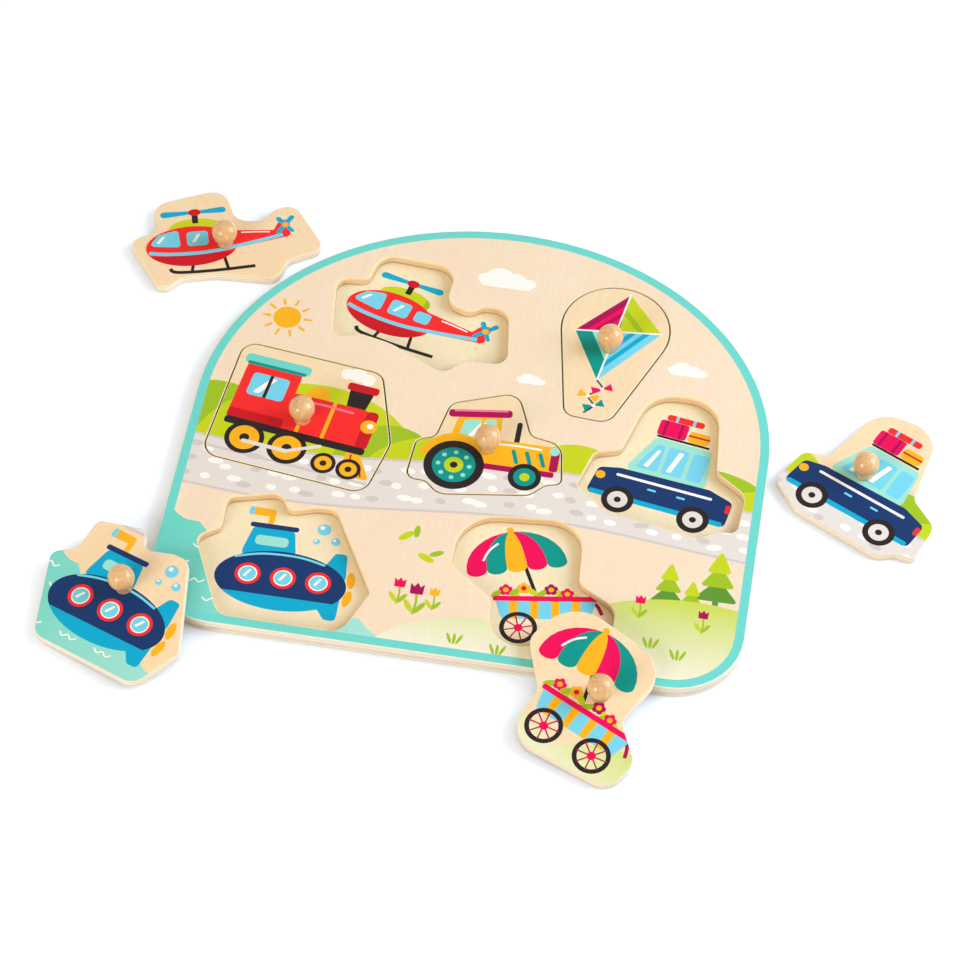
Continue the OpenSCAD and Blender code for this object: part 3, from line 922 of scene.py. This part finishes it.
def linear(colour):
    """A colour from 0 to 255 as shader values."""
    shares = [c / 255 for c in colour]
    return (*[c / 12.92 if c <= 0.04045 else ((c + 0.055) / 1.055) ** 2.4 for c in shares], 1)


class Shader:
    """A material's nodes, with short calls for what the looks use."""

    def __init__(self, name):
        self.material = bpy.data.materials.new(name)
        self.material.use_nodes = True
        self.tree = self.material.node_tree
        self.surface = self.tree.nodes["Principled BSDF"]

    def node(self, kind, values=None, **settings):
        made = self.tree.nodes.new(kind)
        for key, value in settings.items():
            setattr(made, key, value)
        for key, value in (values or {}).items():
            if isinstance(value, bpy.types.NodeSocket):
                self.tree.links.new(value, made.inputs[key])
            else:
                made.inputs[key].default_value = value
        return made

    def place(self, scale, shift=(0, 0, 0)):
        """A point's place on the flat piece, in metres, scaled."""
        own = self.node("ShaderNodeAttribute", attribute_name=FLAT_PLACE).outputs["Vector"]
        values = {"Vector": own, "Scale": scale, "Location": shift}
        return self.node("ShaderNodeMapping", values).outputs["Vector"]

    def noise(self, scale, shift=(0, 0, 0), detail=4.0, roughness=0.6):
        place = self.place(scale, shift)
        values = {"Vector": place, "Scale": 1.0, "Detail": detail, "Roughness": roughness}
        return self.node("ShaderNodeTexNoise", values).outputs["Fac"]

    def spread(self, value, low, high, to_low, to_high):
        values = {"Value": value, 1: low, 2: high, 3: to_low, 4: to_high}
        return self.node("ShaderNodeMapRange", values).outputs["Result"]

    def maths(self, operation, *values):
        return self.node("ShaderNodeMath", dict(enumerate(values)), operation=operation).outputs[0]

    def mix(self, factor, a, b):
        made = self.node("ShaderNodeMix", {0: factor, 6: a, 7: b}, data_type="RGBA")
        return made.outputs[2]

    def soak(self):
        """Lets light spread under the surface, which keeps the shadows on bare wood warm."""
        inputs = self.surface.inputs
        inputs["Subsurface Weight"].default_value = SOAK
        inputs["Subsurface Radius"].default_value = SOAK_REACH
        inputs["Subsurface Scale"].default_value = MM

    def paint_gap_shade(self, tone, limit):
        """Paints shade on what facing surfaces leave less open than a limit, such as the gap round a piece.
        """
        values = {"Distance": PAINTED_GAP_SHADE_REACH * MM}
        open_share = self.node("ShaderNodeAmbientOcclusion", values, samples=16).outputs["AO"]
        return self.mix(self.spread(open_share, WHOLLY_DARK, limit, 1, 0), tone, linear(PAINTED_GAP_SHADE))

    def finish(self, colour, rough, bump, distance, strength, coat=0.0, coat_rough=0.2):
        """Joins colour, roughness and bump to the surface, under any lacquer coat."""
        inputs = self.surface.inputs
        self.tree.links.new(colour, inputs["Base Color"])
        self.tree.links.new(rough, inputs["Roughness"])
        relief = self.node("ShaderNodeBump", {"Height": bump, "Distance": distance, "Strength": strength})
        self.tree.links.new(relief.outputs["Normal"], inputs["Normal"])
        inputs["Specular IOR Level"].default_value = GLOSS
        inputs["Coat Weight"].default_value = coat
        inputs["Coat Roughness"].default_value = coat_rough
        return self.material

    def veneer(self, seed):
        """Straight fine grain along the board: streaks, broad clouds and short pores, each about 0 to 1."""
        streaks = self.noise((1100, 90, 300), (seed, 0, 0), 5)
        clouds = self.noise((40, 12, 20), (0, seed, 0), 3)
        pores = self.spread(self.noise((2600, 420, 900), (seed, seed, 0), 2), 0.6, 0.74, 0, 1)
        return streaks, clouds, pores


def wood(name, pale, dark, rough):
    s = Shader(name)
    streaks, clouds, pores = s.veneer(sum(map(ord, name)) % 17)
    tone = s.mix(s.spread(streaks, 0.34, 0.66, 0, 0.6), linear(pale), linear(dark))
    tone = s.mix(s.spread(clouds, 0.35, 0.7, 0, 0.45), tone, linear(dark))
    tone = s.mix(s.spread(pores, 0, 1, 0, 0.3), tone, linear([c * 0.88 for c in dark]))
    # Painted shade on the bare wood beside and in the gaps round the pieces
    if name in WOODS_WITH_PAINTED_GAP_SHADE:
        tone = s.paint_gap_shade(tone, WOODS_WITH_PAINTED_GAP_SHADE[name])
    s.soak()
    return s.finish(tone, s.spread(streaks, 0.3, 0.7, rough - 0.05, rough + 0.06), streaks, 0.0002, 0.1)


def ink(name, colour, far=None, axis=None, reach=None):
    """Printed ink under lacquer, through which the veneer's grain still shows a little."""
    s = Shader("ink_" + name)
    streaks, clouds, pores = s.veneer(3)
    tone = linear(colour)
    if far:
        place = s.node("ShaderNodeSeparateXYZ", {"Vector": s.place((1 / MM,) * 3)}).outputs[axis]
        tone = s.mix(s.spread(place, reach[0], reach[1], 0, 1), linear(colour), linear(far))
    tone = s.mix(s.spread(streaks, 0.3, 0.7, 0, 0.1), tone, linear([c * 0.88 for c in colour]))
    tone = s.mix(s.spread(clouds, 0.4, 0.8, 0, 0.05), tone, linear([c * 0.85 for c in colour]))
    tone = s.mix(s.spread(pores, 0, 1, 0, 0.1), tone, linear([c * 0.75 for c in colour]))
    return s.finish(tone, s.spread(streaks, 0.3, 0.7, 0.42, 0.52), streaks, 0.0002, 0.1)


def plies(name, face, core, glue, lines, joints, mouth):
    """A cut plywood edge: plies that take turns in tone, a thin glue line between them, and end grain."""
    s = Shader(name)
    height = s.node("ShaderNodeSeparateXYZ", {"Vector": s.place((1 / MM,) * 3)}).outputs["Z"]
    wander = s.spread(s.noise((60, 60, 60), (0, 0, 0), 2), 0.3, 0.7, -0.12, 0.12)
    height = s.maths("ADD", height, wander)
    fibres = s.noise((700, 700, 2600), (2, 0, 0), 4)
    tone = linear(face)
    for i, line in enumerate(lines):
        ply = core if i % 2 == 0 else face
        tone = s.mix(s.spread(height, line - 0.04, line + 0.04, 0, 1), tone, linear(ply))
    for line in lines + joints:
        away = s.maths("ABSOLUTE", s.maths("SUBTRACT", height, line))
        strength = JOINT_LINE if line in joints else PLY_LINE
        tone = s.mix(s.spread(away, 0.08, 0.26, strength, 0), tone, linear(glue))
    tone = s.mix(s.spread(fibres, 0.35, 0.7, 0, 0.35), tone, linear([c * 0.9 for c in core]))
    # Painted shade in narrow gaps and tight corners, which takes in more of the gap near its mouth
    tone = s.paint_gap_shade(tone, s.spread(height, mouth - 0.5, mouth + 0.5, DEEP_LIMIT, MOUTH_LIMIT))
    return s.finish(tone, s.spread(fibres, 0.3, 0.7, 0.5, 0.65), fibres, 0.0003, 0.2)


def turned_wood(name, pale, dark):
    """Turned wood under a thick clear lacquer."""
    s = Shader(name)
    grain = s.noise((620, 620, 110), (1, 0, 0), 4)
    rings = s.noise((130, 130, 40), (0, 2, 0), 2)
    tone = s.mix(s.spread(grain, 0.35, 0.68, 0, 0.7), linear(pale), linear(dark))
    tone = s.mix(s.spread(rings, 0.4, 0.7, 0, 0.5), tone, linear(dark))
    s.soak()
    rough = s.spread(grain, 0.3, 0.7, 0.3, 0.42)
    return s.finish(tone, rough, grain, 0.0002, 0.06, PEG_COAT, PEG_COAT_ROUGH)


MATERIALS = {}


def material(look):
    if look not in MATERIALS:
        if look in INKS:
            MATERIALS[look] = ink(look, INKS[look])
        elif look in FADES:
            MATERIALS[look] = ink(look, *FADES[look])
        elif look in EDGES:
            MATERIALS[look] = plies(look, *EDGES[look])
        elif look in WOODS:
            MATERIALS[look] = wood(look, *WOODS[look])
        else:
            MATERIALS[look] = turned_wood(look, *PEG_TONES)
    return MATERIALS[look]


# The stage

def make_camera():
    data = bpy.data.cameras.new("camera")
    data.lens, data.sensor_width, data.clip_start, data.clip_end = LENS, SENSOR, 0.05, 20
    camera = new_object("camera", data)
    at, aim = Vector(CAMERA_AT) * MM, Vector(CAMERA_AIM) * MM
    ahead = (aim - at).normalized()
    level = ahead.cross(Vector((0, 0, 1))).normalized()
    upright = level.cross(ahead)
    roll = math.radians(CAMERA_ROLL)
    right = level * math.cos(roll) + upright * math.sin(roll)
    up = upright * math.cos(roll) - level * math.sin(roll)
    camera.matrix_world = Matrix.Translation(at) @ Matrix((right, up, -ahead)).transposed().to_4x4()
    bpy.context.scene.camera = camera


def seen_share(tree):
    """1 for rays that the camera, gloss or glass sends, and 0 for those that light the object."""
    rays = tree.nodes.new("ShaderNodeLightPath").outputs
    total = rays["Is Camera Ray"]
    for other in ("Is Glossy Ray", "Is Transmission Ray"):
        either = tree.nodes.new("ShaderNodeMath")
        either.operation = "MAXIMUM"
        tree.links.new(total, either.inputs[0])
        tree.links.new(rays[other], either.inputs[1])
        total = either.outputs[0]
    return total


def make_world():
    world = bpy.data.worlds.new("studio")
    bpy.context.scene.world = world
    world.use_nodes = True
    tree = world.node_tree
    light = tree.nodes["Background"]
    light.inputs["Color"].default_value = SKY_TINT
    light.inputs["Strength"].default_value = SKY_LIGHT
    shown = tree.nodes.new("ShaderNodeBackground")
    mix = tree.nodes.new("ShaderNodeMixShader")
    tree.links.new(seen_share(tree), mix.inputs[0])
    tree.links.new(light.outputs[0], mix.inputs[1])
    tree.links.new(shown.outputs[0], mix.inputs[2])
    shown.inputs["Color"].default_value = (1, 1, 1, 1)
    tree.links.new(mix.outputs[0], tree.nodes["World Output"].inputs["Surface"])


def make_floor():
    mesh = bpy.data.meshes.new("floor")
    r, z = FLOOR_REACH, cad_box[0].z - 0.05 * MM
    mesh.from_pydata([(-r, -r, z), (r, -r, z), (r, r, z), (-r, r, z)], [], [(0, 1, 2, 3)])
    s = Shader("floor")
    tree = s.tree
    s.surface.inputs["Base Color"].default_value = FLOOR_TONE
    s.surface.inputs["Roughness"].default_value = 0.9
    s.surface.inputs["Specular IOR Level"].default_value = 0.0
    # Painted shadow: where objects leave the floor less open, on the side it is tilted to, its glow is cut
    # back
    side = s.node("ShaderNodeCombineXYZ", dict(zip("XYZ", CONTACT_OPEN))).outputs[0]
    values = {"Distance": CONTACT_REACH * MM, "Normal": side}
    open_share = s.node("ShaderNodeAmbientOcclusion", values, samples=8).outputs["AO"]
    lift_with_painted_shadow = s.spread(open_share, 0, CONTACT_CLEAR, 0, FLOOR_LIFT)
    lift_with_painted_shadow = s.maths("MULTIPLY", seen_share(tree), lift_with_painted_shadow)
    glow = s.node("ShaderNodeEmission", {"Color": FLOOR_LIFT_TINT, "Strength": lift_with_painted_shadow})
    both = s.node("ShaderNodeAddShader", {0: s.surface.outputs[0], 1: glow.outputs[0]})
    tree.links.new(both.outputs[0], tree.nodes["Material Output"].inputs["Surface"])
    mesh.materials.append(s.material)
    new_object("floor", mesh)


def make_lamp(name, toward, power, size, tint):
    """A round soft lamp in a direction from the middle of the board, looking at it."""
    data = bpy.data.lights.new(name, "AREA")
    data.shape, data.size, data.energy, data.color = "DISK", size, power, tint
    lamp = new_object(name, data)
    toward = Vector(toward).normalized()
    lamp.location = toward * LAMP_AWAY
    lamp.rotation_mode = "QUATERNION"
    lamp.rotation_quaternion = toward.to_track_quat("Z", "Y")


# The part

def middle_of(loop):
    return tuple((loop.min(axis=0) + loop.max(axis=0)) / 2)


def build():
    outer, *pockets = [loop[:, :2] for loop in flat_loops("frame_board", np.array([0, 0, 1.0]))]
    sizes = fit_sizes(pockets)
    low, high = outer.min(axis=0), outer.max(axis=0)
    country = draw_country((*(low + BORDER_END), *(high - BORDER_END))).shapes
    drawers = dict(zip(PIECES, (draw_helicopter, draw_locomotive, draw_tractor, draw_kite, draw_van,
                                draw_submarine, draw_cart)))
    outlines, pictures = [], []
    for name in PIECES:
        outline, pose = find_piece(name, pockets, sizes)
        picture = drawers[name](middle_of(outline))
        tile, axis = make_tile(name, outline, pose, sizes, picture, country)
        settle(tile, name + "_piece", name + "_tile")
        settle(make_peg(name, pose, axis), name + "_piece", name + "_peg")
        outlines.append(outline)
        pictures.append(picture)
    settle(make_frame_board(outer, pockets, country), "board", "frame_board")
    settle(make_base_board(outer, outlines, pictures), "board", "base_board")


def settle(obj, body, node):
    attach(obj, body)
    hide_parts(node)


make_camera()
make_world()
make_floor()
make_lamp("key", KEY_TOWARD, KEY_POWER, KEY_SIZE, KEY_TINT)
make_lamp("fill", FILL_TOWARD, FILL_POWER, FILL_SIZE, FILL_TINT)
build()
bpy.context.scene.view_settings.view_transform = "Standard"
